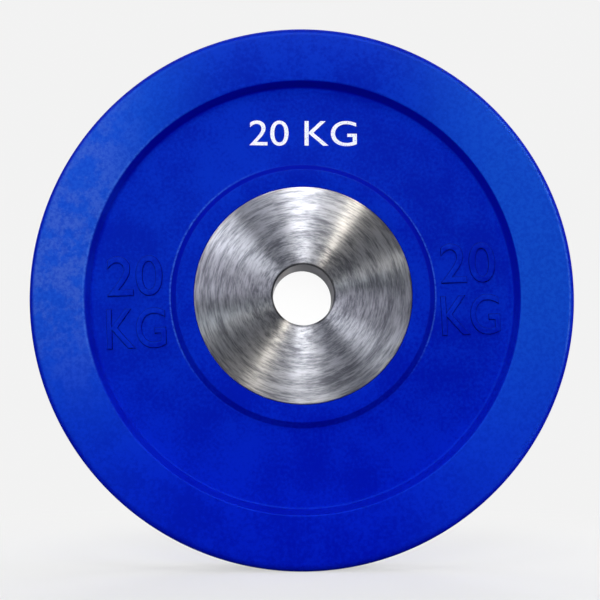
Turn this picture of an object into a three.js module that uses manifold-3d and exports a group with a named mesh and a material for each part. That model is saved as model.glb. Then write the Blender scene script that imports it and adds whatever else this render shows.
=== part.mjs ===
// A rubber bumper plate with a steel hub, standing on its tread as a wheel stands.
// The bore runs along Y, the front looks along -Y and +Z is up. Lengths are in millimetres.
// The origin is on the bore's axis, halfway between the two rim faces.

import * as THREE from "three";
import { mergeVertices } from "three/addons/utils/BufferGeometryUtils.js";
import Module from "manifold-3d";

// The plate as a whole
const PLATE_DIAMETER = 450;
const RIM_THICKNESS = 60;
const BORE_DIAMETER = 50.4;
const FIT_CLEARANCE = 0.3;
const CUT_OVERRUN = 1;

// Rubber body, whose two faces are alike
const TREAD_FILLET = 7;
const RIM_WIDTH = 45.5;
const RIM_WALL_RUN = 4.4;
const RIM_EDGE_FILLET = 2;
const RIM_ROOT_FILLET = 1.2;
const FIELD_DEPTH = 9;
const COLLAR_WIDTH = 14.5;
const COLLAR_WALL_RUN = 4.8;
const COLLAR_EDGE_FILLET = 1.2;
const COLLAR_ROOT_FILLET = 1;
const COLLAR_RISE = 5;

// Steel plate moulded into the rubber, with holes that the rubber runs through
const CORE_COVER = 60;
const CORE_THICKNESS = 12;
const ANCHOR_COUNT = 12;
const ANCHOR_HOLE_DIAMETER = 22;
const ANCHOR_EDGE_LAND = 23;

// Hub discs
const DISC_DIAMETER = 180;
const DISC_THICKNESS = 6;
const DISC_PROUD = 0.6;
const DISC_EDGE_CHAMFER = 0.6;
const BORE_CHAMFER = 1.3;

// Sleeve that lines the bore, seated in a shallow step on the inside of each disc
const SLEEVE_WALL = 5;
const SLEEVE_SEAT_DEPTH = 2;

// Threaded pillars on the front disc, and the screws that reach them from the rear
const PILLAR_COUNT = 6;
const PILLAR_EDGE_DISTANCE = 25;
const PILLAR_DIAMETER = 14;
const SCREW_DIAMETER = 8;
const SCREW_LENGTH = 20;
const SCREW_HEAD_DIAMETER = 15.6;
const SCREW_HEAD_LAND = 0.5;
const SCREW_HEAD_SETBACK = 0.3;
const SCREW_TIP_CHAMFER = 1;
const SOCKET_ACROSS_FLATS = 5;
const SOCKET_DEPTH = 3;
const THREAD_RUNOUT = 2;

// How finely round forms are faceted
const RUBBER_FACETS = 80;
const DISC_FACETS = 64;
const SLEEVE_FACETS = 40;
const SMALL_ROUND_FACETS = 16;
const TREAD_FILLET_STEPS = 4;
const EDGE_FILLET_STEPS = 2;
const ROOT_FILLET_STEPS = 1;
const SOCKET_SIDES = 6;

// Places along the bore, measured out from the middle plane
const rimFaceY = RIM_THICKNESS / 2;
const fieldY = rimFaceY - FIELD_DEPTH;
const collarY = fieldY + COLLAR_RISE;
const discOuterY = collarY + DISC_PROUD;
const discInnerY = discOuterY - DISC_THICKNESS;
const recessFloorY = discInnerY - FIT_CLEARANCE;
const coreFaceY = CORE_THICKNESS / 2;
const slotFaceY = coreFaceY + FIT_CLEARANCE;
const sleeveSeatY = discInnerY + SLEEVE_SEAT_DEPTH;
const sleeveEndY = sleeveSeatY - FIT_CLEARANCE;
const pillarEndY = discInnerY - FIT_CLEARANCE;
const screwTopY = discOuterY - SCREW_HEAD_SETBACK;
const screwTipY = screwTopY - SCREW_LENGTH;
const threadFloorY = screwTipY - THREAD_RUNOUT;

// Radii
const treadRadius = PLATE_DIAMETER / 2;
const rimFaceInnerRadius = treadRadius - RIM_WIDTH;
const discRadius = DISC_DIAMETER / 2;
const recessRadius = discRadius + FIT_CLEARANCE;
const collarEdgeRadius = recessRadius + COLLAR_WIDTH;
const boreRadius = BORE_DIAMETER / 2;
const sleeveRadius = boreRadius + SLEEVE_WALL;
const sleeveHoleRadius = sleeveRadius + FIT_CLEARANCE;
const coreRadius = treadRadius - CORE_COVER;
const pillarCircleRadius = discRadius - PILLAR_EDGE_DISTANCE;
const pillarRadius = PILLAR_DIAMETER / 2;
const pillarHoleRadius = pillarRadius + FIT_CLEARANCE;
const anchorHoleRadius = ANCHOR_HOLE_DIAMETER / 2;
const anchorCircleRadius = coreRadius - ANCHOR_EDGE_LAND - anchorHoleRadius;
const screwRadius = SCREW_DIAMETER / 2;
const screwHeadRadius = SCREW_HEAD_DIAMETER / 2;

const wasm = await Module();
wasm.setup();

const blueRubber = new THREE.MeshStandardMaterial({ color: 0x0a2cc0, roughness: 0.62, metalness: 0 });
const turnedSteel = new THREE.MeshStandardMaterial({ color: 0xb9b9bd, roughness: 0.3, metalness: 1 });
const sleeveSteel = new THREE.MeshStandardMaterial({ color: 0x8b8b8e, roughness: 0.35, metalness: 1 });
const millSteel = new THREE.MeshStandardMaterial({ color: 0x6f7174, roughness: 0.6, metalness: 1 });
const zincSteel = new THREE.MeshStandardMaterial({ color: 0xc9cbce, roughness: 0.35, metalness: 1 });

// One corner of a turned profile, with the fillet that rounds it.
function corner(radius, y, fillet = 0, steps = 0) {
  return { at: new THREE.Vector2(radius, y), fillet, steps };
}

// The arc that rounds a corner, tangent to the lines before and after it.
function filletArc({ at, fillet, steps }, before, after) {
  const arriving = at.clone().sub(before).normalize();
  const leaving = after.clone().sub(at).normalize();
  const bend = Math.asin(arriving.cross(leaving));
  const start = at.clone().addScaledVector(arriving, -fillet * Math.tan(Math.abs(bend) / 2));
  const towardsCentre = new THREE.Vector2(-arriving.y, arriving.x).multiplyScalar(Math.sign(bend));
  const centre = start.clone().addScaledVector(towardsCentre, fillet);
  const arc = [];
  for (let step = 0; step <= steps; step++) {
    arc.push(start.clone().rotateAround(centre, (bend * step) / steps));
  }
  return arc;
}

// A closed outline through the corners, each one rounded where it has a fillet.
function outlineThrough(corners) {
  const count = corners.length;
  const outline = corners.flatMap((current, i) => {
    if (!current.fillet) return [current.at];
    return filletArc(current, corners[(i + count - 1) % count].at, corners[(i + 1) % count].at);
  });
  return [...outline, outline[0]];
}

// A profile revolved about the Y axis. Its flats lie on the true radius, so turned pieces keep their fits.
function turned(corners, facets) {
  const flatShare = Math.cos(Math.PI / facets);
  const profile = outlineThrough(corners).map((p) => new THREE.Vector2(p.x / flatShare, p.y));
  return new THREE.LatheGeometry(profile, facets, Math.PI / facets);
}

// A plain round bar along Y, for holes and for rubber columns.
function roundBar(radius, halfLength, facets) {
  return new THREE.CylinderGeometry(
    radius / Math.cos(Math.PI / facets),
    radius / Math.cos(Math.PI / facets),
    halfLength * 2,
    facets,
  );
}

// A closed geometry as a solid that can be cut and joined.
function solidOf(geometry) {
  const bare = new THREE.BufferGeometry();
  bare.setAttribute("position", geometry.getAttribute("position"));
  bare.setIndex(geometry.index);
  const welded = mergeVertices(bare);
  return new wasm.Manifold(
    new wasm.Mesh({
      numProp: 3,
      vertProperties: welded.getAttribute("position").array,
      triVerts: new Uint32Array(welded.index.array),
    }),
  );
}

// The geometry of a cut or joined solid.
function geometryOf(solid) {
  const { vertProperties, triVerts } = solid.getMesh();
  const geometry = new THREE.BufferGeometry();
  geometry.setAttribute("position", new THREE.BufferAttribute(vertProperties, 3));
  geometry.setIndex(new THREE.BufferAttribute(triVerts, 1));
  const faceted = geometry.toNonIndexed();
  faceted.computeVertexNormals();
  return faceted;
}

// Places spread evenly round the bore, the first one straight up.
function roundTheBore(count, radius) {
  return Array.from({ length: count }, (_, i) => {
    const angle = (i * 2 * Math.PI) / count;
    return new THREE.Vector3(radius * Math.sin(angle), 0, radius * Math.cos(angle));
  });
}

// The same tool at every place, as solids.
function repeatedAt(places, tool) {
  return places.map(({ x, y, z }) => solidOf(tool.clone().translate(x, y, z)));
}

const pillarPlaces = roundTheBore(PILLAR_COUNT, pillarCircleRadius);
const anchorPlaces = roundTheBore(ANCHOR_COUNT, anchorCircleRadius);

// The moulded face from the disc recess out to the tread, as corners in order of radius.
// The mirrored copy of it makes the other face.
function faceCorners(side) {
  const face = [
    corner(sleeveHoleRadius, recessFloorY),
    corner(recessRadius, recessFloorY),
    corner(recessRadius, collarY),
    corner(collarEdgeRadius, collarY, COLLAR_EDGE_FILLET, EDGE_FILLET_STEPS),
    corner(collarEdgeRadius + COLLAR_WALL_RUN, fieldY, COLLAR_ROOT_FILLET, ROOT_FILLET_STEPS),
    corner(rimFaceInnerRadius - RIM_WALL_RUN, fieldY, RIM_ROOT_FILLET, ROOT_FILLET_STEPS),
    corner(rimFaceInnerRadius, rimFaceY, RIM_EDGE_FILLET, EDGE_FILLET_STEPS),
    corner(treadRadius, rimFaceY, TREAD_FILLET, TREAD_FILLET_STEPS),
  ];
  return face.map(({ at, fillet, steps }) => corner(at.x, side * at.y, fillet, steps));
}

// Blue rubber, moulded round the core plate. The slot that holds the core is open at the sleeve,
// and columns of rubber run through the core's anchor holes and tie the two faces together.
function makeRubberPlate() {
  const slotRadius = coreRadius + FIT_CLEARANCE;
  const slot = [
    corner(sleeveHoleRadius, slotFaceY),
    corner(slotRadius, slotFaceY),
    corner(slotRadius, -slotFaceY),
    corner(sleeveHoleRadius, -slotFaceY),
  ];
  const body = solidOf(turned([...faceCorners(-1), ...faceCorners(1).reverse(), ...slot], RUBBER_FACETS));
  const columnHalfLength = slotFaceY + CUT_OVERRUN;
  const column = roundBar(anchorHoleRadius - FIT_CLEARANCE, columnHalfLength, SMALL_ROUND_FACETS);
  const pillarHole = roundBar(pillarHoleRadius, recessFloorY + CUT_OVERRUN, SMALL_ROUND_FACETS);
  const tied = repeatedAt(anchorPlaces, column).reduce((whole, part) => whole.add(part), body);
  const holes = repeatedAt(pillarPlaces, pillarHole);
  return geometryOf(holes.reduce((whole, hole) => whole.subtract(hole), tied));
}

// Flat steel ring, cut with clearance holes for the pillars and anchor holes for the rubber.
function makeCorePlate() {
  const blank = solidOf(
    turned(
      [
        corner(sleeveHoleRadius, -coreFaceY),
        corner(coreRadius, -coreFaceY),
        corner(coreRadius, coreFaceY),
        corner(sleeveHoleRadius, coreFaceY),
      ],
      DISC_FACETS,
    ),
  );
  const holeHalfLength = coreFaceY + CUT_OVERRUN;
  const holes = [
    ...repeatedAt(pillarPlaces, roundBar(pillarHoleRadius, holeHalfLength, SMALL_ROUND_FACETS)),
    ...repeatedAt(anchorPlaces, roundBar(anchorHoleRadius, holeHalfLength, SMALL_ROUND_FACETS)),
  ];
  return geometryOf(holes.reduce((plate, hole) => plate.subtract(hole), blank));
}

// The corners of a hub disc: chamfered bore and rim outside, and a step inside that seats the sleeve.
function discCorners(side) {
  const disc = [
    corner(boreRadius, sleeveSeatY),
    corner(boreRadius, discOuterY - BORE_CHAMFER),
    corner(boreRadius + BORE_CHAMFER, discOuterY),
    corner(discRadius - DISC_EDGE_CHAMFER, discOuterY),
    corner(discRadius, discOuterY - DISC_EDGE_CHAMFER),
    corner(discRadius, discInnerY),
    corner(sleeveHoleRadius, discInnerY),
    corner(sleeveHoleRadius, sleeveSeatY),
  ];
  const placed = disc.map(({ at }) => corner(at.x, side * at.y));
  return side < 0 ? placed : placed.reverse();
}

// The rear disc has a countersunk hole over each pillar.
function makeRearDisc() {
  const clearRadius = screwRadius + FIT_CLEARANCE;
  const sinkRadius = screwHeadRadius + FIT_CLEARANCE;
  const sinkTopY = screwTopY - SCREW_HEAD_LAND;
  const countersink = turned(
    [
      corner(0, discInnerY - CUT_OVERRUN),
      corner(clearRadius, discInnerY - CUT_OVERRUN),
      corner(clearRadius, sinkTopY - (sinkRadius - clearRadius)),
      corner(sinkRadius, sinkTopY),
      corner(sinkRadius, discOuterY + CUT_OVERRUN),
      corner(0, discOuterY + CUT_OVERRUN),
    ],
    SMALL_ROUND_FACETS,
  );
  const blank = solidOf(turned(discCorners(1), DISC_FACETS));
  const holes = repeatedAt(pillarPlaces, countersink);
  return geometryOf(holes.reduce((disc, hole) => disc.subtract(hole), blank));
}

// Steel tube between the discs. Its wall is the middle of the bore.
function makeSleeve() {
  const tube = [
    corner(boreRadius, -sleeveEndY),
    corner(sleeveRadius, -sleeveEndY),
    corner(sleeveRadius, sleeveEndY),
    corner(boreRadius, sleeveEndY),
  ];
  return turned(tube, SLEEVE_FACETS);
}

// Round steel pillar with a tapped blind hole at its rear end.
function makePillar() {
  const threadRadius = screwRadius + FIT_CLEARANCE;
  const pillar = [
    corner(0, -pillarEndY),
    corner(pillarRadius, -pillarEndY),
    corner(pillarRadius, pillarEndY),
    corner(threadRadius, pillarEndY),
    corner(threadRadius, threadFloorY),
    corner(0, threadFloorY),
  ];
  return turned(pillar, SMALL_ROUND_FACETS);
}

// Countersunk screw with a hexagon socket, pointing at the pillar from the rear.
function makeScrew() {
  const headEdgeY = screwTopY - SCREW_HEAD_LAND;
  const shank = solidOf(
    turned(
      [
        corner(0, screwTipY),
        corner(screwRadius - SCREW_TIP_CHAMFER, screwTipY),
        corner(screwRadius, screwTipY + SCREW_TIP_CHAMFER),
        corner(screwRadius, headEdgeY - (screwHeadRadius - screwRadius)),
        corner(screwHeadRadius, headEdgeY),
        corner(screwHeadRadius, screwTopY),
        corner(0, screwTopY),
      ],
      SMALL_ROUND_FACETS,
    ),
  );
  const socket = roundBar(SOCKET_ACROSS_FLATS / 2, SOCKET_DEPTH, SOCKET_SIDES).translate(0, screwTopY, 0);
  return geometryOf(shank.subtract(solidOf(socket)));
}

function named(name, geometry, material) {
  const mesh = new THREE.Mesh(geometry, material);
  mesh.name = name;
  return mesh;
}

// One copy of a geometry at each place, numbered from 1.
function numberedCopies(name, geometry, material, places) {
  return places.map((place, i) => {
    const copy = named(`${name}_${i + 1}`, geometry, material);
    copy.position.copy(place);
    return copy;
  });
}

const moulding = new THREE.Group();
moulding.add(named("rubber_plate", makeRubberPlate(), blueRubber));
moulding.add(named("core_plate", makeCorePlate(), millSteel));

const hub = new THREE.Group();
hub.add(named("front_hub_disc", turned(discCorners(-1), DISC_FACETS), turnedSteel));
hub.add(named("rear_hub_disc", makeRearDisc(), turnedSteel));
hub.add(named("bore_sleeve", makeSleeve(), sleeveSteel));
hub.add(...numberedCopies("threaded_pillar", makePillar(), zincSteel, pillarPlaces));
hub.add(...numberedCopies("hub_screw", makeScrew(), zincSteel, pillarPlaces));

const plate = new THREE.Group();
plate.add(moulding, hub);

export default plate;
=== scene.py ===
from math import cos, pi, radians, sin, tan, tau

import bmesh
import bpy
from mathutils import Matrix, Vector


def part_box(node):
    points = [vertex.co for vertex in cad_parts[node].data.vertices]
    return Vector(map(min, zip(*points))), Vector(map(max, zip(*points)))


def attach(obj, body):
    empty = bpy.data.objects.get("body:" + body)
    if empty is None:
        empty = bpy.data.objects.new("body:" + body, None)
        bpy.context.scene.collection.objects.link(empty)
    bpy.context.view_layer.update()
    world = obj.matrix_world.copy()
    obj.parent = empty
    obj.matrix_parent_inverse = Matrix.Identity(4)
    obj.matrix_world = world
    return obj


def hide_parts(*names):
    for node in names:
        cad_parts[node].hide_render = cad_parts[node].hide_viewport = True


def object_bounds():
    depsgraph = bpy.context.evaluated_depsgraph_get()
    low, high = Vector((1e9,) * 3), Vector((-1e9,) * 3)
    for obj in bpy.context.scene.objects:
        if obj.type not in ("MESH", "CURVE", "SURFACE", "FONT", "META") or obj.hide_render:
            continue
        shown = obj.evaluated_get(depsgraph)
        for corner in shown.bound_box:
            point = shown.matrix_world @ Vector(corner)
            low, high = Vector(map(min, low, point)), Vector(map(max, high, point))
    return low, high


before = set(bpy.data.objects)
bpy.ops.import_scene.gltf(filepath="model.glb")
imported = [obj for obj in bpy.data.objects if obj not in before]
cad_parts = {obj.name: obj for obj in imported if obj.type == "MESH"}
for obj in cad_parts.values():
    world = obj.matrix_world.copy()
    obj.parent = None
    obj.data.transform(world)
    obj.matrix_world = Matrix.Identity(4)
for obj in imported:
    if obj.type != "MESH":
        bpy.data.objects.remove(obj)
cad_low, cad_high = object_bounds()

# Core plate and threaded pillars
# The flat steel ring that the rubber is moulded round, and the six pillars welded to the front disc.
# The rubber and the discs close them in, so they keep their own solids and get bare steel skins.
MILL_SCALE_DARK = (0.045, 0.05, 0.058, 1)
MILL_SCALE_WORN = (0.2, 0.19, 0.18, 1)
SCALE_PATCHES_PER_METRE = 60
SCALE_PATCHES = (0.4, 0.65)
SCALE_DEPTH = 0.00008
ZINC_DULL = (0.4, 0.41, 0.43, 1)
ZINC_BRIGHT = (0.6, 0.62, 0.64, 1)
ZINC_SPANGLE_PER_METRE = 900
ZINC_ROUGHNESS = (0.3, 0.7, 0.28, 0.46)


def add_node(material, kind, links=(), **settings):
    """A node of that kind, with its settings made and its inputs linked or set, by name or number."""
    node = material.node_tree.nodes.new(kind)
    for setting, value in settings.items():
        setattr(node, setting, value)
    for socket, source in dict(links).items():
        if isinstance(source, bpy.types.NodeSocket):
            material.node_tree.links.new(source, node.inputs[socket])
        else:
            node.inputs[socket].default_value = source
    return node


def new_finish(name, roughness, metallic):
    """A material with one Principled shader, which is returned with it."""
    material = bpy.data.materials.new(name)
    material.use_nodes = True
    shader = material.node_tree.nodes["Principled BSDF"]
    shader.inputs["Roughness"].default_value = roughness
    shader.inputs["Metallic"].default_value = metallic
    return material, shader


def place_on_piece(material):
    """The point of the piece that is being shaded, in metres in the frame of the plate."""
    return add_node(material, "ShaderNodeTexCoord").outputs["Object"]


def noise(material, at, per_metre, detail=2.0, roughness=0.5):
    """Noise between 0 and 1 with so many cells to the metre."""
    links = {"Vector": at, "Scale": per_metre, "Detail": detail, "Roughness": roughness}
    return add_node(material, "ShaderNodeTexNoise", links).outputs["Fac"]


def between(material, value, low, high, to_low=0.0, to_high=1.0):
    """The value spread from low..high to another range, with soft ends."""
    links = {"Value": value, "From Min": low, "From Max": high, "To Min": to_low, "To Max": to_high}
    spread = add_node(material, "ShaderNodeMapRange", links, interpolation_type="SMOOTHSTEP")
    return spread.outputs["Result"]


def mixed_colour(material, share, first, second, way="MIX"):
    """The first colour where the share is 0, and where it is 1 the second, or the two multiplied."""
    mix = add_node(material, "ShaderNodeMix", data_type="RGBA", blend_type=way)
    for socket, source in (("Factor_Float", share), ("A_Color", first), ("B_Color", second)):
        target = next(s for s in mix.inputs if s.identifier == socket)
        if isinstance(source, bpy.types.NodeSocket):
            material.node_tree.links.new(source, target)
        else:
            target.default_value = source
    return next(s for s in mix.outputs if s.identifier == "Result_Color")


def connect(material, source, shader, socket):
    """Gives the shader's socket that source."""
    material.node_tree.links.new(source, shader.inputs[socket])


def bump(material, shader, height, depth):
    """Gives the shader the relief of a height from 0 to 1 that stands so many metres proud."""
    relief = add_node(material, "ShaderNodeBump", {"Height": height, "Distance": depth})
    connect(material, relief.outputs["Normal"], shader, "Normal")


mill_steel, shader = new_finish("mill_steel", roughness=0.6, metallic=0.85)
scale = noise(mill_steel, place_on_piece(mill_steel), SCALE_PATCHES_PER_METRE, detail=5)
patches = between(mill_steel, scale, *SCALE_PATCHES)
mill_colour = mixed_colour(mill_steel, patches, MILL_SCALE_DARK, MILL_SCALE_WORN)
connect(mill_steel, mill_colour, shader, "Base Color")
bump(mill_steel, shader, patches, SCALE_DEPTH)

zinc_steel, shader = new_finish("zinc_steel", roughness=0.34, metallic=1.0)
spangle = noise(zinc_steel, place_on_piece(zinc_steel), ZINC_SPANGLE_PER_METRE, detail=3)
connect(zinc_steel, mixed_colour(zinc_steel, spangle, ZINC_DULL, ZINC_BRIGHT), shader, "Base Color")
connect(zinc_steel, between(zinc_steel, spangle, *ZINC_ROUGHNESS), shader, "Roughness")

for name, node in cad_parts.items():
    if name == "core_plate":
        node.material_slots[0].material = mill_steel
    if name.startswith("threaded_pillar"):
        node.material_slots[0].material = zinc_steel

# Rubber plate
# One blue compression moulding: a raised rim with a rounded tread, a sloped wall down to a sunken
# field, and a sloped wall up to the collar that holds the hub. Both faces are alike, each with the
# weight moulded on it twice in low relief. The rubber runs through the core's anchor holes.
TREAD_RADIUS = 0.225
RIM_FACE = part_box("rubber_plate")[1].y
FIELD_DEPTH = 0.009
COLLAR_RISE = 0.005
RIM_INNER_RADIUS = 0.1795
RIM_WALL_RUN = 0.0044
COLLAR_EDGE_RADIUS = 0.1048
COLLAR_WALL_RUN = 0.0048
DISC_RADIUS = 0.09
SEAT_CLEARANCE = 0.0003
SLEEVE_HOLE_RADIUS = 0.0305
SEAT_FILLET = 0.0004
COLLAR_FILLET = 0.0012
COLLAR_FOOT_FILLET = 0.001
RIM_FOOT_FILLET = 0.003
RIM_FILLET = 0.002
TREAD_FILLET = 0.007
PARTING_LINE_HALF_WIDTH = 0.0006
PARTING_LINE_DEPTH = 0.0002
PARTING_LINE_FILLET = 0.0003
PILLAR_COUNT = 6
PILLAR_CIRCLE_RADIUS = 0.065
PILLAR_HOLE_RADIUS = 0.0073
ANCHOR_COUNT = 12
ANCHOR_CIRCLE_RADIUS = 0.131
ANCHOR_RADIUS = 0.0107
PLATE_SEGMENTS = 288
HOLE_SEGMENTS = 32
SAME_POINT = 1e-6
SMOOTH_UNDER = radians(24)
core_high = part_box("core_plate")[1]
disc_low, disc_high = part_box("front_hub_disc")
COLLAR_FOOT_RADIUS = COLLAR_EDGE_RADIUS + COLLAR_WALL_RUN
FIELD_FACE = RIM_FACE - FIELD_DEPTH
COLLAR_FACE = FIELD_FACE + COLLAR_RISE
SEAT_FLOOR = -disc_high.y - SEAT_CLEARANCE
SLOT_RADIUS = core_high.z + SEAT_CLEARANCE
SLOT_FACE = core_high.y + SEAT_CLEARANCE

MARK_HEIGHT = 0.0338
MARK_ROWS = (
    # words, width, rows above the middle
    ("20", 0.046, 0.5),
    ("KG", 0.049, -0.5),
)
MARK_ROW_PITCH = 0.0434
MARK_PROUD = 0.0015
MARK_ROOT = 0.0009
MARK_EDGE = 0.001
MARK_EDGE_STEPS = 2
MARK_SLIM = 0.0004
MARK_TURN = radians(2.6)
MARK_PLACES = ((-0.1384, -0.006), (0.138, 0.0057))
MARK_BAND_MIDDLE = (COLLAR_FOOT_RADIUS + RIM_INNER_RADIUS - RIM_WALL_RUN) / 2
MARK_BAND_HALF_WIDTH = 0.0305
CAPITAL_HEIGHT = 0.69


def select_only(piece):
    """Makes the piece the only selected and the active object."""
    bpy.ops.object.select_all(action="DESELECT")
    piece.select_set(True)
    bpy.context.view_layer.objects.active = piece


def turned_piece(name, outline, segments, closed=True, fillet_steps=5):
    """Draws an outline of (radius, place along Y, fillet) corners, rounds them and spins it."""
    bpy.ops.object.select_all(action="DESELECT")
    bpy.ops.mesh.primitive_plane_add(size=RIM_FACE, location=(0, 0, 0))
    piece = bpy.context.object
    piece.name = name
    corners = [Vector((radius, along, 0)) for radius, along, _ in outline]
    fillets = [fillet for _, _, fillet in outline]
    bpy.ops.object.mode_set(mode="EDIT")
    bpy.ops.mesh.merge(type="CENTER")
    bpy.ops.transform.translate(value=corners[0])
    for start, end in zip(corners, corners[1:]):
        bpy.ops.mesh.extrude_region_move(TRANSFORM_OT_translate={"value": end - start})
    if closed:
        last = corners[0] - corners[-1]
        bpy.ops.mesh.extrude_region_move(TRANSFORM_OT_translate={"value": last})
        bpy.ops.mesh.select_all(action="SELECT")
        bpy.ops.mesh.remove_doubles(threshold=SAME_POINT)
    for i, (corner, fillet) in enumerate(zip(corners, fillets)):
        if not fillet:
            continue
        turn = (corners[i] - corners[i - 1]).angle(corners[(i + 1) % len(corners)] - corners[i])
        wire = bmesh.from_edit_mesh(piece.data)
        bpy.ops.mesh.select_all(action="DESELECT")
        min(wire.verts, key=lambda point: (point.co - corner).length).select_set(True)
        bmesh.update_edit_mesh(piece.data)
        bpy.ops.mesh.bevel(offset=fillet * tan(turn / 2), segments=fillet_steps, affect="VERTICES")
    bpy.ops.mesh.select_all(action="SELECT")
    bpy.ops.mesh.spin(steps=segments, angle=tau, center=(0, 0, 0), axis=(0, 1, 0))
    bpy.ops.mesh.select_all(action="SELECT")
    bpy.ops.mesh.remove_doubles(threshold=SAME_POINT)
    bpy.ops.mesh.normals_make_consistent(inside=False)
    bpy.ops.object.mode_set(mode="OBJECT")
    return piece


def turned_rod(name, radius, half_length):
    """A plain rod along the bore, to be added to a piece or cut out of it."""
    outline = [
        (0, -half_length, 0),
        (radius, -half_length, 0),
        (radius, half_length, 0),
        (0, half_length, 0),
    ]
    return turned_piece(name, outline, HOLE_SEGMENTS, closed=False)


def repeated(piece, places):
    """Moves the piece's mesh to the first place and puts copies with their own meshes at the rest."""
    pieces = [piece]
    for i in range(1, len(places)):
        copy = piece.copy()
        copy.data = piece.data.copy()
        copy.name = f"{piece.name}_{i + 1}"
        bpy.context.collection.objects.link(copy)
        pieces.append(copy)
    for copy, place in zip(pieces, places):
        copy.data.transform(Matrix.Translation(place))
    return pieces


def combine(piece, tools, operation):
    """Adds the tools to the piece, or cuts them out of it, and deletes them."""
    select_only(tools[0])
    for tool in tools:
        tool.select_set(True)
    bpy.ops.object.join()
    tool = bpy.context.object
    select_only(piece)
    cut = piece.modifiers.new("cut", "BOOLEAN")
    cut.object = tool
    cut.operation = operation
    cut.solver = "EXACT"
    bpy.ops.object.modifier_apply(modifier=cut.name)
    bpy.data.objects.remove(tool)


def finish_piece(piece, material, *nodes):
    """Smooths a piece, gives it its material and puts it on the plate for its CAD nodes, if any."""
    select_only(piece)
    bpy.ops.object.shade_smooth_by_angle(angle=SMOOTH_UNDER)
    piece.data.materials.clear()
    piece.data.materials.append(material)
    if nodes:
        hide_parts(*nodes)
    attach(piece, "root")


def round_the_bore(count, radius):
    """Places spread evenly round the bore, the first one straight up."""
    turns = [i * tau / count for i in range(count)]
    return [Vector((radius * sin(turn), 0, radius * cos(turn))) for turn in turns]


def standing_words(
    name, words, centre, width, height, thickness, edge=0, edge_steps=0, slim=0, turn=0.0
):
    """Plain upright words as a closed solid of that size, read along the way the centre's Y points."""
    bpy.ops.object.select_all(action="DESELECT")
    bpy.ops.object.text_add(rotation=(pi / 2, -turn, pi if centre.y > 0 else 0))
    text = bpy.context.object.data
    text.body = words
    text.size = height / CAPITAL_HEIGHT
    text.extrude = thickness / 2 - edge
    text.offset = -slim
    text.bevel_depth = edge
    text.bevel_resolution = edge_steps
    bpy.ops.object.convert(target="MESH")
    piece = bpy.context.object
    piece.name = name
    bpy.ops.object.origin_set(type="ORIGIN_GEOMETRY", center="BOUNDS")
    piece.scale = (width / piece.dimensions.x, height / piece.dimensions.y, 1)
    piece.location = centre
    bpy.ops.object.transform_apply(location=True, rotation=True, scale=True)
    bpy.ops.object.mode_set(mode="EDIT")
    bpy.ops.mesh.select_all(action="SELECT")
    bpy.ops.mesh.remove_doubles(threshold=SAME_POINT)
    bpy.ops.mesh.normals_make_consistent(inside=False)
    bpy.ops.object.mode_set(mode="OBJECT")
    return piece


def face_outline(side):
    """The moulded face from the disc's seat out to the tread."""
    return [
        (SLEEVE_HOLE_RADIUS, side * SEAT_FLOOR, 0),
        (DISC_RADIUS + SEAT_CLEARANCE, side * SEAT_FLOOR, 0),
        (DISC_RADIUS + SEAT_CLEARANCE, side * COLLAR_FACE, SEAT_FILLET),
        (COLLAR_EDGE_RADIUS, side * COLLAR_FACE, COLLAR_FILLET),
        (COLLAR_FOOT_RADIUS, side * FIELD_FACE, COLLAR_FOOT_FILLET),
        (RIM_INNER_RADIUS - RIM_WALL_RUN, side * FIELD_FACE, RIM_FOOT_FILLET),
        (RIM_INNER_RADIUS, side * RIM_FACE, RIM_FILLET),
        (TREAD_RADIUS, side * RIM_FACE, TREAD_FILLET),
        (TREAD_RADIUS, side * PARTING_LINE_HALF_WIDTH, PARTING_LINE_FILLET),
    ]


parting_line = [(TREAD_RADIUS - PARTING_LINE_DEPTH, 0, 0)]
slot_outline = [
    (SLEEVE_HOLE_RADIUS, SLOT_FACE, 0),
    (SLOT_RADIUS, SLOT_FACE, 0),
    (SLOT_RADIUS, -SLOT_FACE, 0),
    (SLEEVE_HOLE_RADIUS, -SLOT_FACE, 0),
]
body_outline = face_outline(-1) + parting_line + face_outline(1)[::-1] + slot_outline
rubber_body = turned_piece("rubber_body", body_outline, PLATE_SEGMENTS)

# The columns are turned by half a facet, so that none of their corners lies on the body's seam.
anchor = turned_rod("anchor_column", ANCHOR_RADIUS, SLOT_FACE + SEAT_CLEARANCE)
anchor.data.transform(Matrix.Rotation(pi / HOLE_SEGMENTS, 4, "Y"))
raised = repeated(anchor, round_the_bore(ANCHOR_COUNT, ANCHOR_CIRCLE_RADIUS))
for side in (-1, 1):
    for x, z in MARK_PLACES:
        for words, width, row in MARK_ROWS:
            along = side * (FIELD_FACE + (MARK_PROUD - MARK_ROOT) / 2)
            lean = Vector((-sin(MARK_TURN), 0, cos(MARK_TURN))) * row * MARK_ROW_PITCH
            raised.append(standing_words(
                "moulded_words",
                words,
                Vector((-side * (x + lean.x), along, z + lean.z)),
                width,
                MARK_HEIGHT,
                MARK_PROUD + MARK_ROOT,
                MARK_EDGE,
                MARK_EDGE_STEPS,
                MARK_SLIM,
                MARK_TURN,
            ))
combine(rubber_body, raised, "UNION")

hole = turned_rod("pillar_hole", PILLAR_HOLE_RADIUS, RIM_FACE)
pillar_places = round_the_bore(PILLAR_COUNT, PILLAR_CIRCLE_RADIUS)
combine(rubber_body, repeated(hole, pillar_places), "DIFFERENCE")

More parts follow.
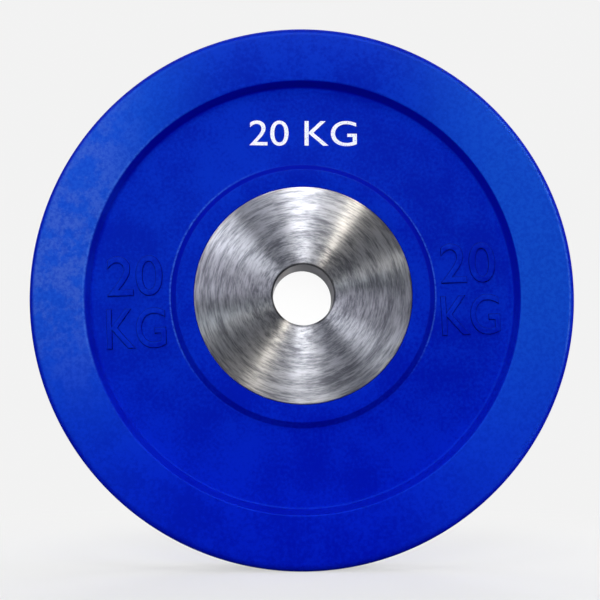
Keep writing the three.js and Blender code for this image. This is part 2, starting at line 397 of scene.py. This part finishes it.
# The rubber's looks. A spread says where a look begins and ends, in metres, in noise or in slant, and
# then its value at both, unless that is 0 and 1.
RUBBER_GLOSS = 0.22
RUBBER_GLOSS_TINT = (0.02, 0.3, 1, 1)
RUBBER_DEEP = (0.0003, 0.004, 0.35, 1)
RUBBER_LIGHT = (0.0008, 0.0155, 0.445, 1)
BLOTCHES_PER_METRE = 26
MOTTLES_PER_METRE = 380
DEEP_TO_LIGHT = (0.8, 1.22)
RIM_BEGINS = (RIM_INNER_RADIUS - 0.001, RIM_INNER_RADIUS + 0.001)
RIM_ENDS = (TREAD_RADIUS - 0.0055, TREAD_RADIUS - 0.002, 1.0, 0.0)
# A painted highlight: the rim's sides get a paler painted sheen that fades towards the bottom.
RIM_PAINTED_SHEEN = (0.005, 0.062, 0.53, 1)
SHEEN_TO_SIDES = (0.02, 0.2)
SHEEN_SHARE = (0.0, 1.0, 0.05, 0.95)
SHEEN_MOTTLES = (0.36, 0.64, 0.72, 1.0)
SHEEN_BELOW = (-0.2, 0.0)
SHEEN_LEAST_LEFT_TO_RIGHT = (-0.1, 0.1, 0.15, 0.9)
# Painted light: the lower part is tinted bluer and less green, lacking the sheen that light from above
# gives the top.
LOWER_PAINTED_TINGE = (0.7, 0.5, 1.17, 1)
TINGE_BELOW = (-0.2, 0.02, 1.0, 0.0)
RIM_CHALK = (0.1, 0.155, 0.48, 1)
CHALK_PER_METRE = 30
CHALK_CLOUDS = (0.44, 0.56, 0.15, 1.0)
CHALK_MOTTLES = (0.35, 0.62, 0.55, 1.25)
CHALK_AT_LEFT = (-0.19, -0.12, 0.27, 0.0)
CHALK_ABOVE = (-0.11, 0.02)
# Painted shade in a deeper blue, on the sloped walls and on the upper tread edge.
PAINTED_SHADE_BLUE = (0.0002, 0.0006, 0.33, 1)
WALL_SLANT = (0.72, 0.98, 1.0, 0.0)
WALL_LESS_AT_LEFT = (-0.17, -0.12, 0.2, 1.0)
WALL_LESS_BELOW = (-0.09, 0.06, 0.3, 1.0)
WALL_DULLNESS = 0.9
OUTER_EDGE = (TREAD_RADIUS - 0.0042, TREAD_RADIUS - 0.001, 0.0, 0.6)
OUTER_EDGE_ABOVE = (-0.2, 0.0)
# Painted shade round the moulded words.
MARK_SIDE_SHADE = (0.0003, 0.0016, 0.21, 1)
MARK_SLANT = (0.92, 0.999, 1.0, 0.0)
# Painted highlights: thin paler lines along edges, on the sides that the side lamps light.
PAINTED_EDGE_HIGHLIGHT = (0.04, 0.13, 0.62, 1)
PAINTED_HIGHLIGHT_LINES = (
    # radius, half width, and the places across the plate where the painted highlight begins and is
    # full
    (COLLAR_FOOT_RADIUS + 0.0006, 0.0012, -0.02, -0.09),
    (COLLAR_FOOT_RADIUS + 0.0006, 0.001, 0.05, 0.12),
    (RIM_INNER_RADIUS + 0.001, 0.0014, -0.08, -0.17),
    (TREAD_RADIUS - 0.0046, 0.0014, 0.12, 0.19),
)
HIGHLIGHT_LINE_MOTTLES = (0.36, 0.6, 0.1, 0.62)
HIGHLIGHT_LINES_ABOVE = (-0.075, -0.03, 0.1, 1.0)
SATIN_ROUGHNESS = (0.3, 0.7, 0.44, 0.58)
TREAD_ROUGHNESS = (TREAD_RADIUS - 0.0065, TREAD_RADIUS - 0.003, 0.0, 0.95)
GRAIN_PER_METRE = 1500
GRAIN_DEPTH = 0.00005


def reckon(material, operation, first, second=0.0):
    """The result of a sum on two values."""
    return add_node(material, "ShaderNodeMath", {0: first, 1: second}, operation=operation).outputs[0]


def product(material, *shares):
    """The shares multiplied together."""
    whole = shares[0]
    for share in shares[1:]:
        whole = reckon(material, "MULTIPLY", whole, share)
    return whole


def reckon_vector(material, operation, first, second=(0, 0, 0)):
    """The result of a sum on two vectors, where SCALE takes a number second and LENGTH gives one."""
    links = {0: first, 3 if operation == "SCALE" else 1: second}
    outputs = add_node(material, "ShaderNodeVectorMath", links, operation=operation).outputs
    return outputs["Value" if operation == "LENGTH" else "Vector"]


def parts_of(material, vector):
    """The vector's X, Y and Z."""
    return add_node(material, "ShaderNodeSeparateXYZ", {0: vector}).outputs


blue_rubber, shader = new_finish("blue_rubber", roughness=0.5, metallic=0.0)
shader.inputs["Specular IOR Level"].default_value = RUBBER_GLOSS
shader.inputs["Specular Tint"].default_value = RUBBER_GLOSS_TINT
place = place_on_piece(blue_rubber)
radius = reckon_vector(blue_rubber, "LENGTH", reckon_vector(blue_rubber, "MULTIPLY", place, (1, 0, 1)))
across, _, upward = parts_of(blue_rubber, place)
normal = add_node(blue_rubber, "ShaderNodeTexCoord").outputs["Normal"]
facing = reckon(blue_rubber, "ABSOLUTE", parts_of(blue_rubber, normal)["Y"])

blotches = noise(blue_rubber, place, BLOTCHES_PER_METRE, detail=4)
mottles = noise(blue_rubber, place, MOTTLES_PER_METRE, detail=4, roughness=0.6)
lightness = between(blue_rubber, reckon(blue_rubber, "ADD", blotches, mottles), *DEEP_TO_LIGHT)
rubber = mixed_colour(blue_rubber, lightness, RUBBER_DEEP, RUBBER_LIGHT)
on_rim = product(
    blue_rubber,
    between(blue_rubber, radius, *RIM_BEGINS),
    between(blue_rubber, radius, *RIM_ENDS),
)
# Painted sheen on the rim: paler on both sides, weaker towards the bottom and weakest at the lower
# left. It stands in for light from the sides.
to_side = between(blue_rubber, reckon(blue_rubber, "ABSOLUTE", across), *SHEEN_TO_SIDES)
least = between(blue_rubber, across, *SHEEN_LEAST_LEFT_TO_RIGHT)
painted_sheen = product(
    blue_rubber,
    on_rim,
    between(blue_rubber, to_side, *SHEEN_SHARE),
    between(blue_rubber, mottles, *SHEEN_MOTTLES),
    between(blue_rubber, upward, *SHEEN_BELOW, least, 1.0),
)
rubber = mixed_colour(blue_rubber, painted_sheen, rubber, RIM_PAINTED_SHEEN)
# Painted light: towards the bottom the rubber is tinted bluer and less green, as if less light from
# above fell on it.
painted_lower_tinge = between(blue_rubber, upward, *TINGE_BELOW)
rubber = mixed_colour(blue_rubber, painted_lower_tinge, rubber, LOWER_PAINTED_TINGE, "MULTIPLY")
clouds = noise(blue_rubber, place, CHALK_PER_METRE, detail=8, roughness=0.75)
rubbed = product(
    blue_rubber,
    between(blue_rubber, clouds, *CHALK_CLOUDS),
    between(blue_rubber, mottles, *CHALK_MOTTLES),
)
to_left = product(
    blue_rubber,
    between(blue_rubber, across, *CHALK_AT_LEFT),
    between(blue_rubber, upward, *CHALK_ABOVE),
)
chalk = product(blue_rubber, rubbed, to_left, on_rim)
rubber = mixed_colour(blue_rubber, chalk, rubber, RIM_CHALK)
# Painted shade: the sloped walls inside the rim are painted a deeper blue, strongest at the top and
# weaker at the left and towards the bottom.
wall = product(
    blue_rubber,
    between(blue_rubber, facing, *WALL_SLANT),
    reckon(blue_rubber, "LESS_THAN", radius, RIM_INNER_RADIUS),
    between(blue_rubber, across, *WALL_LESS_AT_LEFT),
)
painted_wall_shade = product(blue_rubber, wall, between(blue_rubber, upward, *WALL_LESS_BELOW))
rubber = mixed_colour(blue_rubber, painted_wall_shade, rubber, PAINTED_SHADE_BLUE)
# Painted shade: the upper half of the tread's rounded front edge is painted the same deeper blue,
# against the light from above.
painted_edge_shade = product(
    blue_rubber,
    between(blue_rubber, radius, *OUTER_EDGE),
    between(blue_rubber, upward, *OUTER_EDGE_ABOVE),
)
rubber = mixed_colour(blue_rubber, painted_edge_shade, rubber, PAINTED_SHADE_BLUE)
# Painted shade: the steep sides of the moulded words are painted darker, standing in for the shade
# round them.
off_middle = reckon(blue_rubber, "SUBTRACT", radius, MARK_BAND_MIDDLE)
off_middle = reckon(blue_rubber, "ABSOLUTE", off_middle)
painted_mark_shade = product(
    blue_rubber,
    between(blue_rubber, facing, *MARK_SLANT),
    reckon(blue_rubber, "LESS_THAN", off_middle, MARK_BAND_HALF_WIDTH),
)
rubber = mixed_colour(blue_rubber, painted_mark_shade, rubber, MARK_SIDE_SHADE)
# Painted highlights: thin paler lines along the collar's foot, the rim's inner edge and the tread, on
# the sides that the side lamps light, fading towards the bottom.
painted_edge_highlight = 0.0
for edge_radius, half_width, worn_from, worn_to in PAINTED_HIGHLIGHT_LINES:
    off_edge = reckon(blue_rubber, "ABSOLUTE", reckon(blue_rubber, "SUBTRACT", radius, edge_radius))
    on_edge = product(
        blue_rubber,
        between(blue_rubber, off_edge, 0.0, half_width, 1.0, 0.0),
        between(blue_rubber, across, worn_from, worn_to),
    )
    painted_edge_highlight = reckon(blue_rubber, "MAXIMUM", painted_edge_highlight, on_edge)
painted_edge_highlight = product(
    blue_rubber,
    painted_edge_highlight,
    between(blue_rubber, mottles, *HIGHLIGHT_LINE_MOTTLES),
    between(blue_rubber, upward, *HIGHLIGHT_LINES_ABOVE),
)
rubber = mixed_colour(blue_rubber, painted_edge_highlight, rubber, PAINTED_EDGE_HIGHLIGHT)
connect(blue_rubber, rubber, shader, "Base Color")

satin = between(blue_rubber, mottles, *SATIN_ROUGHNESS)
scuffed = between(blue_rubber, radius, *TREAD_ROUGHNESS)
dulled = reckon(blue_rubber, "MAXIMUM", scuffed, product(blue_rubber, wall, WALL_DULLNESS))
connect(blue_rubber, reckon(blue_rubber, "MAXIMUM", satin, dulled), shader, "Roughness")
bump(blue_rubber, shader, noise(blue_rubber, place, GRAIN_PER_METRE, detail=3), GRAIN_DEPTH)
finish_piece(rubber_body, blue_rubber, "rubber_plate")

# Printed weight
# The weight once more in white ink at the top of each field. It is printed flat on the rubber, so it
# stands proud of it by no more than the ink.
PRINT_HEIGHT = 0.0215
PRINT_WIDTH = 0.09
PRINT_UP = 0.1365
INK_THICKNESS = 0.0003
INK_PROUD = 0.0001
INK_WORN = (0.45, 0.52, 0.78, 1)
INK_WHITE = (0.83, 0.86, 0.95, 1)
INK_WEAR_PER_METRE = 900
INK_WEAR = (0.32, 0.52)
INK_WEAR_DEPTH = 0.00002
white_ink, shader = new_finish("white_ink", roughness=0.55, metallic=0.0)
ink_specks = noise(white_ink, place_on_piece(white_ink), INK_WEAR_PER_METRE, detail=4)
kept_ink = between(white_ink, ink_specks, *INK_WEAR)
connect(white_ink, mixed_colour(white_ink, kept_ink, INK_WORN, INK_WHITE), shader, "Base Color")
bump(white_ink, shader, kept_ink, INK_WEAR_DEPTH)
for face, side in (("front", -1), ("rear", 1)):
    centre = Vector((0, side * (FIELD_FACE + INK_PROUD - INK_THICKNESS / 2), PRINT_UP))
    name = f"{face}_weight_print"
    ink = standing_words(name, "20 KG", centre, PRINT_WIDTH, PRINT_HEIGHT, INK_THICKNESS)
    finish_piece(ink, white_ink)

# Bore sleeve
# The steel tube that the bar's loading sleeve runs in. It is drawn and left as drawn, grey and dull,
# and the two discs hold it between them.
BORE_RADIUS = 0.0252
SLEEVE_RADIUS = 0.0302
SLEEVE_FILLET = 0.0003
SLEEVE_SEGMENTS = 128
DRAWN_DARK = (0.35, 0.345, 0.35, 1)
DRAWN_PALE = (0.58, 0.57, 0.58, 1)
DRAW_MARKS_PER_METRE = 300
DRAW_MARK_DEPTH = 0.00002
sleeve_low, sleeve_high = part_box("bore_sleeve")
sleeve_outline = [
    (BORE_RADIUS, sleeve_low.y, SLEEVE_FILLET),
    (SLEEVE_RADIUS, sleeve_low.y, SLEEVE_FILLET),
    (SLEEVE_RADIUS, sleeve_high.y, SLEEVE_FILLET),
    (BORE_RADIUS, sleeve_high.y, SLEEVE_FILLET),
]
bore_lining = turned_piece("bore_lining", sleeve_outline, SLEEVE_SEGMENTS, fillet_steps=3)
drawn_steel, shader = new_finish("drawn_steel", roughness=0.5, metallic=0.9)
draw_marks = noise(drawn_steel, place_on_piece(drawn_steel), DRAW_MARKS_PER_METRE, detail=4)
drawn_colour = mixed_colour(drawn_steel, draw_marks, DRAWN_DARK, DRAWN_PALE)
connect(drawn_steel, drawn_colour, shader, "Base Color")
bump(drawn_steel, shader, draw_marks, DRAW_MARK_DEPTH)
finish_piece(bore_lining, drawn_steel, "bore_sleeve")

# Hub discs
# Two turned steel discs, front and rear, let into the collar and clamped on the sleeve. The rear one
# is countersunk for six screws. The lathe leaves fine rings, which draw each lamp out into a fan.
DISC_FACE = -disc_low.y
DISC_BACK = -disc_high.y
SLEEVE_SEAT_DEPTH = 0.002
SLEEVE_SEAT = DISC_BACK + SLEEVE_SEAT_DEPTH
BORE_CHAMFER = 0.0013
BORE_FILLET = 0.0003
DISC_EDGE_CHAMFER = 0.0006
DISC_EDGE_FILLET = 0.0002
SCREW_RADIUS = 0.004
SCREW_HEAD_RADIUS = 0.0078
SCREW_HEAD_LAND = 0.0005
SCREW_SUNK = 0.0003
SCREW_TOP = DISC_FACE - SCREW_SUNK
STEEL_DARK = (0.2, 0.204, 0.23, 1)
STEEL_BRIGHT = (0.6, 0.604, 0.635, 1)
STEEL_DARK_TO_BRIGHT = (0.75, 1.25)
STEEL_ROUGHNESS = 0.36
STEEL_STRETCH = 1.0
RINGS_PER_METRE = 1200
RING_ARCS = 5.0
RING_DEPTH = 0.00002
FIBRES_PER_METRE = 620
FIBRE_ARCS = 5.0
BANDS_PER_METRE = 130
BAND_ARCS = 2.0
SWAYS_PER_METRE = FIBRES_PER_METRE * 1.3
SWAY_ARCS = FIBRE_ARCS / 1.4
FIBRE_SWAY = 0.22
# Painted shade for the bore's chamfer.
BORE_PAINTED_SHADE = (0.03, 0.03, 0.034, 1)
CHAMFER_SHADE_SPREAD = (BORE_RADIUS + 0.0009, BORE_RADIUS + 0.002, 0.8, 0.0)


def disc_outline(side):
    """A disc with a chamfered bore and edge outside and the sleeve's seat inside."""
    return [
        (BORE_RADIUS, side * SLEEVE_SEAT, 0),
        (BORE_RADIUS, side * (DISC_FACE - BORE_CHAMFER), BORE_FILLET),
        (BORE_RADIUS + BORE_CHAMFER, side * DISC_FACE, BORE_FILLET),
        (DISC_RADIUS - DISC_EDGE_CHAMFER, side * DISC_FACE, DISC_EDGE_FILLET),
        (DISC_RADIUS, side * (DISC_FACE - DISC_EDGE_CHAMFER), DISC_EDGE_FILLET),
        (DISC_RADIUS, side * DISC_BACK, 0),
        (SLEEVE_HOLE_RADIUS, side * DISC_BACK, 0),
        (SLEEVE_HOLE_RADIUS, side * SLEEVE_SEAT, 0),
    ]


front_disc = turned_piece("front_disc", disc_outline(-1), PLATE_SEGMENTS, fillet_steps=3)
rear_disc = turned_piece("rear_disc", disc_outline(1), PLATE_SEGMENTS, fillet_steps=3)
clear_radius = SCREW_RADIUS + SEAT_CLEARANCE
sink_radius = SCREW_HEAD_RADIUS + SEAT_CLEARANCE
sink_top = SCREW_TOP - SCREW_HEAD_LAND
countersink_outline = [
    (0, DISC_BACK - SEAT_CLEARANCE, 0),
    (clear_radius, DISC_BACK - SEAT_CLEARANCE, 0),
    (clear_radius, sink_top - sink_radius + clear_radius, 0),
    (sink_radius, sink_top, 0),
    (sink_radius, RIM_FACE, 0),
    (0, RIM_FACE, 0),
]
countersink = turned_piece("countersink", countersink_outline, HOLE_SEGMENTS * 2, closed=False)
combine(rear_disc, repeated(countersink, pillar_places), "DIFFERENCE")


def ring_noise(material, outward, radius, arcs, rings_per_metre):
    """Noise drawn out along the turning: short across the radius and long round the bore."""
    ring = reckon(material, "MULTIPLY", radius, rings_per_metre)
    lifted = add_node(material, "ShaderNodeCombineXYZ", {"Y": ring}).outputs[0]
    round_way = reckon_vector(material, "SCALE", outward, arcs)
    at = reckon_vector(material, "ADD", round_way, lifted)
    return noise(material, at, per_metre=1.0, detail=4, roughness=0.68)


turned_steel, shader = new_finish("turned_steel", roughness=STEEL_ROUGHNESS, metallic=1.0)
shader.inputs["Anisotropic"].default_value = STEEL_STRETCH
flat = reckon_vector(turned_steel, "MULTIPLY", place_on_piece(turned_steel), (1, 0, 1))
radius = reckon_vector(turned_steel, "LENGTH", flat)
outward = reckon_vector(turned_steel, "NORMALIZE", flat)
rings = ring_noise(turned_steel, outward, radius, RING_ARCS, RINGS_PER_METRE)
fibres = ring_noise(turned_steel, outward, radius, FIBRE_ARCS, FIBRES_PER_METRE)
bands = ring_noise(turned_steel, outward, radius, BAND_ARCS, BANDS_PER_METRE)
bright = between(turned_steel, reckon(turned_steel, "ADD", fibres, bands), *STEEL_DARK_TO_BRIGHT)
steel_colour = mixed_colour(turned_steel, bright, STEEL_DARK, STEEL_BRIGHT)
# Painted shade: a thin dark ring on the bore's chamfer.
painted_chamfer_shade = between(turned_steel, radius, *CHAMFER_SHADE_SPREAD)
steel_colour = mixed_colour(turned_steel, painted_chamfer_shade, steel_colour, BORE_PAINTED_SHADE)
connect(turned_steel, steel_colour, shader, "Base Color")

# The steel is smoothest along the rings, which sway a little from a true circle.
round_way = reckon_vector(turned_steel, "CROSS_PRODUCT", outward, (0, 1, 0))
swaying = ring_noise(turned_steel, outward, radius, SWAY_ARCS, SWAYS_PER_METRE)
sway = product(turned_steel, reckon(turned_steel, "SUBTRACT", swaying, 0.5), FIBRE_SWAY)
swayed = reckon_vector(turned_steel, "SCALE", round_way, sway)
connect(turned_steel, reckon_vector(turned_steel, "ADD", outward, swayed), shader, "Tangent")
bump(turned_steel, shader, rings, RING_DEPTH)
for disc, node in ((front_disc, "front_hub_disc"), (rear_disc, "rear_hub_disc")):
    finish_piece(disc, turned_steel, node)

# Hub screws
# Six zinc-plated countersunk screws with hexagon sockets. They are driven from the rear into the
# pillars, and their heads lie just under the disc's face.
SCREW_LENGTH = 0.02
SCREW_TIP_CHAMFER = 0.001
SCREW_NECK_FILLET = 0.0004
SCREW_RIM_FILLET = 0.0002
SCREW_TOP_FILLET = 0.0003
SOCKET_ACROSS_FLATS = 0.005
SOCKET_DEPTH = 0.003
SOCKET_SIDES = 6
screw_tip = SCREW_TOP - SCREW_LENGTH
screw_outline = [
    (0, screw_tip, 0),
    (SCREW_RADIUS - SCREW_TIP_CHAMFER, screw_tip, 0),
    (SCREW_RADIUS, screw_tip + SCREW_TIP_CHAMFER, 0),
    (SCREW_RADIUS, sink_top - SCREW_HEAD_RADIUS + SCREW_RADIUS, SCREW_NECK_FILLET),
    (SCREW_HEAD_RADIUS, sink_top, SCREW_RIM_FILLET),
    (SCREW_HEAD_RADIUS, SCREW_TOP, SCREW_TOP_FILLET),
    (0, SCREW_TOP, 0),
]
screw = turned_piece("rear_screw", screw_outline, HOLE_SEGMENTS * 2, closed=False, fillet_steps=3)
bpy.ops.object.select_all(action="DESELECT")
bpy.ops.mesh.primitive_cylinder_add(
    vertices=SOCKET_SIDES,
    radius=SOCKET_ACROSS_FLATS / 2 / cos(pi / SOCKET_SIDES),
    depth=SOCKET_DEPTH * 2,
    location=(0, SCREW_TOP, 0),
    rotation=(pi / 2, 0, 0),
)
socket = bpy.context.object
bpy.ops.object.transform_apply(location=True, rotation=True, scale=True)
combine(screw, [socket], "DIFFERENCE")
for i, copy in enumerate(repeated(screw, pillar_places)):
    finish_piece(copy, zinc_steel, f"hub_screw_{i + 1}")

# Camera
# It stands a metre in front of the plate and a little lower than the bore, as in the photograph, and
# its small shift puts the plate in the photograph's place in the frame.
CAMERA_DISTANCE = 1.008
CAMERA_AZIMUTH = radians(-1.4)
CAMERA_ELEVATION = radians(-5.17)
FOCAL_LENGTH = 71.47
SHIFT_RIGHT = -0.0043
SHIFT_UP = -0.004
camera_place = CAMERA_DISTANCE * Vector((
    sin(CAMERA_AZIMUTH) * cos(CAMERA_ELEVATION),
    -cos(CAMERA_AZIMUTH) * cos(CAMERA_ELEVATION),
    sin(CAMERA_ELEVATION),
))
to_bore = (-camera_place).to_track_quat("-Z", "Y").to_euler()
bpy.ops.object.camera_add(location=camera_place, rotation=to_bore)
camera = bpy.context.object
camera.data.lens = FOCAL_LENGTH
camera.data.shift_x = SHIFT_RIGHT
camera.data.shift_y = SHIFT_UP
bpy.context.scene.camera = camera
bpy.context.scene.view_settings.view_transform = "Standard"

# Studio
# A pale floor under the plate, a pale backdrop all round it, and lamps in front and behind. The floor
# takes the plate's shadow and casts none, so that the low gleams pass it. Both faces are lit alike.
BACKDROP = (0.89, 0.89, 0.89, 1)
BACKDROP_MIDDLE = (1, 1, 1, 1)
BACKDROP_MIDDLE_SPREAD = (0.99, 0.998)
ROOM_MIRRORED = (0.125, 0.13, 0.15, 1)
ROOM_MIRRORED_SPREAD = (0.0, 0.35)
FLOOR_REACH = 16.0
FLOOR_COLOUR = (0.08, 0.08, 0.08, 1)
FLOOR_SEEN = (0.86, 0.86, 0.86, 1)
FLOOR_PLAIN = (0.1, 0.6, 0.6, 1.0)
FILL_WHITE = (1, 1, 1, 1)
FILL = 0.07
LAMP_DISTANCE = 2.0
OVERHEAD = 0.99
SOFT_BOXES = (
    # name, way from the bore, width, length, level
    ("top_box", (0, 0, 1), 1.2, 1.2, 0.04),
    ("right_box", (1, 0, 0.1), 0.7, 0.9, 0.7),
    ("left_box", (-1, 0, 0.1), 0.7, 0.9, 0.24),
)
FACE_BOXES = (
    # name, its way to the side and up for one forward, width, length, level
    ("box", 0.1, 0.23, 0.7, 0.7, 0.83),
    ("high_box", 0.1, 1.5, 0.5, 0.5, 0.2),
)
GLEAMS = (
    # name, angle from 3 o'clock, slant, width, length, level, colour
    ("top", 91, 0.66, 0.44, 0.5, 0.42, (1, 1, 1)),
    ("top_wide", 88, 0.74, 1.3, 0.5, 0.46, (0.93, 0.94, 1)),
    ("top_warm", 70, 0.66, 0.22, 0.5, 0.05, (1, 0.97, 0.9)),
    ("crown", 118, 0.66, 0.4, 0.5, 0.06, (0.86, 0.88, 1)),
    ("warm", 60, 0.78, 0.11, 0.6, 0.4, (1, 0.92, 0.76)),
    ("low_warm", 214, 0.66, 0.16, 0.6, 0.11, (1, 0.86, 0.64)),
    ("right", 20, 0.7, 0.06, 0.5, 0.035, (1, 0.94, 0.84)),
    ("left", 143, 0.74, 0.55, 0.5, 0.4, (0.92, 0.94, 1)),
    ("left_wide", 168, 0.7, 0.75, 0.5, 0.22, (0.9, 0.89, 1)),
    ("low_left", 212, 0.6, 0.8, 0.5, 0.23, (0.84, 0.94, 1)),
)


def seen_by(tree):
    """Whether a ray shows the backdrop as it is, and whether it was mirrored, each as 1 or 0."""
    path = add_node(tree, "ShaderNodeLightPath").outputs
    straight = reckon(tree, "MAXIMUM", path["Is Camera Ray"], path["Is Glossy Ray"])
    return reckon(tree, "MAXIMUM", straight, path["Is Transmission Ray"]), path["Is Glossy Ray"]


def backdrop_glow(tree, way, mirrored):
    """The backdrop's glow, white in the middle. Steel mirrors a dim room in front and behind."""
    along = parts_of(tree, way)["Y"]
    middle = between(tree, along, *BACKDROP_MIDDLE_SPREAD)
    glow = mixed_colour(tree, middle, BACKDROP, BACKDROP_MIDDLE)
    dim = between(tree, reckon(tree, "ABSOLUTE", along), *ROOM_MIRRORED_SPREAD)
    return mixed_colour(tree, product(tree, dim, mirrored), glow, ROOM_MIRRORED)


bpy.ops.object.select_all(action="DESELECT")
bpy.ops.mesh.primitive_plane_add(size=FLOOR_REACH, location=(0, 0, cad_low.z))
floor = bpy.context.object
floor.name = "studio_floor"
floor.visible_shadow = False
pale_floor = bpy.data.materials.new("pale_floor")
pale_floor.use_nodes = True
pale_floor.node_tree.nodes.clear()
seen, mirrored = seen_by(pale_floor)
place = place_on_piece(pale_floor)
away = reckon_vector(pale_floor, "LENGTH", place)
plain = product(pale_floor, between(pale_floor, away, *FLOOR_PLAIN), seen)
plain = reckon(pale_floor, "MAXIMUM", plain, mirrored)
floor_colour = mixed_colour(pale_floor, seen, FLOOR_COLOUR, FLOOR_SEEN)
shaded = add_node(pale_floor, "ShaderNodeBsdfDiffuse", {"Color": floor_colour}).outputs[0]
from_bore = reckon_vector(pale_floor, "ADD", place, (0, 0, cad_low.z))
way = reckon_vector(pale_floor, "NORMALIZE", from_bore)
floor_glow = backdrop_glow(pale_floor, way, mirrored)
glow = add_node(pale_floor, "ShaderNodeEmission", {"Color": floor_glow}).outputs[0]
shown = add_node(pale_floor, "ShaderNodeMixShader", {0: plain, 1: shaded, 2: glow}).outputs[0]
add_node(pale_floor, "ShaderNodeOutputMaterial", {"Surface": shown})
floor.data.materials.append(pale_floor)

world = bpy.data.worlds.new("studio")
bpy.context.scene.world = world
world.use_nodes = True
world.node_tree.nodes.clear()
seen, mirrored = seen_by(world)
way = add_node(world, "ShaderNodeTexCoord").outputs["Generated"]
fill = add_node(world, "ShaderNodeBackground", {"Color": FILL_WHITE, "Strength": FILL}).outputs[0]
world_glow = backdrop_glow(world, way, mirrored)
backdrop = add_node(world, "ShaderNodeBackground", {"Color": world_glow}).outputs[0]
shown = add_node(world, "ShaderNodeMixShader", {0: seen, 1: fill, 2: backdrop}).outputs[0]
add_node(world, "ShaderNodeOutputWorld", {"Surface": shown})


def turn_to_bore(lamp, right, aim):
    """Turns the lamp to shine against its aim, with its width along that way to the right."""
    lamp.rotation_euler = Matrix((right, aim.cross(right), aim)).transposed().to_euler()


def add_lamp(name, aim, width, length, level, colour=(1, 1, 1)):
    """An area lamp that shines on the bore from that way and lights a facing white sheet so much."""
    bpy.ops.object.light_add(type="AREA", location=LAMP_DISTANCE * aim)
    lamp = bpy.context.object
    lamp.name = name
    upright = abs(aim.z) < OVERHEAD
    right = Vector((0, 0, 1)).cross(aim).normalized() if upright else Vector((1, 0, 0))
    turn_to_bore(lamp, right, aim)
    lamp.data.shape = "RECTANGLE"
    lamp.data.size = width
    lamp.data.size_y = length
    lamp.data.energy = level * pi ** 2 * LAMP_DISTANCE ** 2
    lamp.data.color = colour
    return lamp


def add_soft_box(name, aim, width, length, level):
    """A wide lamp that lights the rubber and doesn't show in the steel."""
    add_lamp(name, Vector(aim).normalized(), width, length, level).visible_glossy = False


def add_gleam(name, side, fan, slant, width, length, level, colour):
    """A lamp that shows in gloss alone, as a fan on the disc at that angle, seen from that side."""
    outward = Vector((-side * slant * cos(radians(fan)), 0, slant * sin(radians(fan))))
    aim = outward - Vector((camera_place.x, 0, camera_place.z)) / CAMERA_DISTANCE
    aim.y = side * (1 - aim.length_squared) ** 0.5
    lamp = add_lamp(name, aim, width, length, level, colour)
    turn_to_bore(lamp, outward.cross(aim).normalized(), aim)
    lamp.visible_diffuse = False


for face, side in (("front", -1), ("rear", 1)):
    for name, sideways, up, *size_and_level in FACE_BOXES:
        add_soft_box(f"{face}_{name}", (side * sideways, side, up), *size_and_level)
    for name, *gleam in GLEAMS:
        add_gleam(f"{face}_{name}_gleam", side, *gleam)
for soft_box in SOFT_BOXES:
    add_soft_box(*soft_box)
